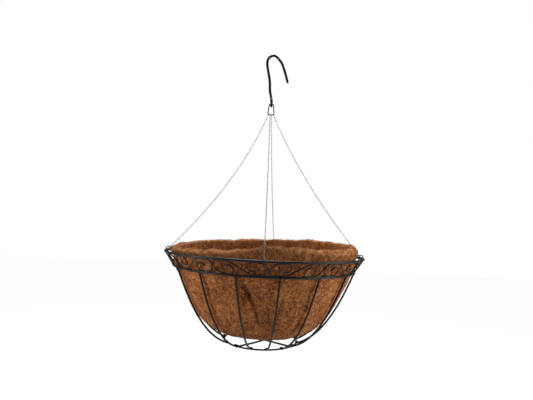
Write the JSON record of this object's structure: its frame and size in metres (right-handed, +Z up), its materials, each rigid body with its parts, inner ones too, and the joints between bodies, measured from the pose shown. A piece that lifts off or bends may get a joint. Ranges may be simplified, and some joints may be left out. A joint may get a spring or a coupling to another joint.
{
  "type": "hanging basket",
  "caption": "Round wire hanging basket with a scrolled band, a coir fibre liner, hanging chains and a crook hook.",
  "frame": {"origin": "the inside top of the hook's crook, where a bracket or ceiling hook carries the basket", "axes": "+Z up along the load line, from the basket's base to the hook; the hook's crook opens in the XZ plane with its tip towards +X; -Y is the front"},
  "size_m": [0.3606, 0.3593, 0.5309],
  "materials": {
    "black_wire": "black satin paint over welded steel wire",
    "hook_wire": "black smooth coating over bent steel wire",
    "chain_wire": "dull zinc plated twisted link chain",
    "coir": "rough pressed coconut fibre bound with latex"
  },
  "bodies": {
    "hook": {"hook": "hook_wire"},
    "gather_ring": {"gather_ring": "black_wire"},
    "basket": {"top_ring": "black_wire", "band_ring": "black_wire", "base_ring": "black_wire", "scroll_01": "black_wire", "scroll_02": "black_wire", "scroll_03": "black_wire", "scroll_04": "black_wire", "scroll_05": "black_wire", "scroll_06": "black_wire", "scroll_07": "black_wire", "scroll_08": "black_wire", "scroll_09": "black_wire", "scroll_10": "black_wire", "scroll_11": "black_wire", "scroll_12": "black_wire", "rib_01": "black_wire", "rib_02": "black_wire", "rib_03": "black_wire", "rib_04": "black_wire", "rib_05": "black_wire", "rib_06": "black_wire", "rib_07": "black_wire", "rib_08": "black_wire", "rib_09": "black_wire", "rib_10": "black_wire", "rib_11": "black_wire", "rib_12": "black_wire", "rib_13": "black_wire", "rib_14": "black_wire", "rib_15": "black_wire", "rib_16": "black_wire", "base_bar_upper": "black_wire", "base_bar_lower": "black_wire", "coir_liner": "coir", "chain_front": "chain_wire", "chain_right": "chain_wire", "chain_back": "chain_wire", "chain_left": "chain_wire", "chain_clip_front": "black_wire", "chain_clip_right": "black_wire", "chain_clip_back": "black_wire", "chain_clip_left": "black_wire"}
  },
  "joints": [
    {"name": "ring_swing", "type": "hinge", "parent": "hook", "child": "gather_ring", "pos_m": [0, 0, -0.0941], "axis": [0, 1, 0], "range_deg": [-25, 25]},
    {"name": "basket_swing", "type": "hinge", "parent": "gather_ring", "child": "basket", "pos_m": [0, 0, -0.1111], "axis": [1, 0, 0], "range_deg": [-25, 25]}
  ]
}
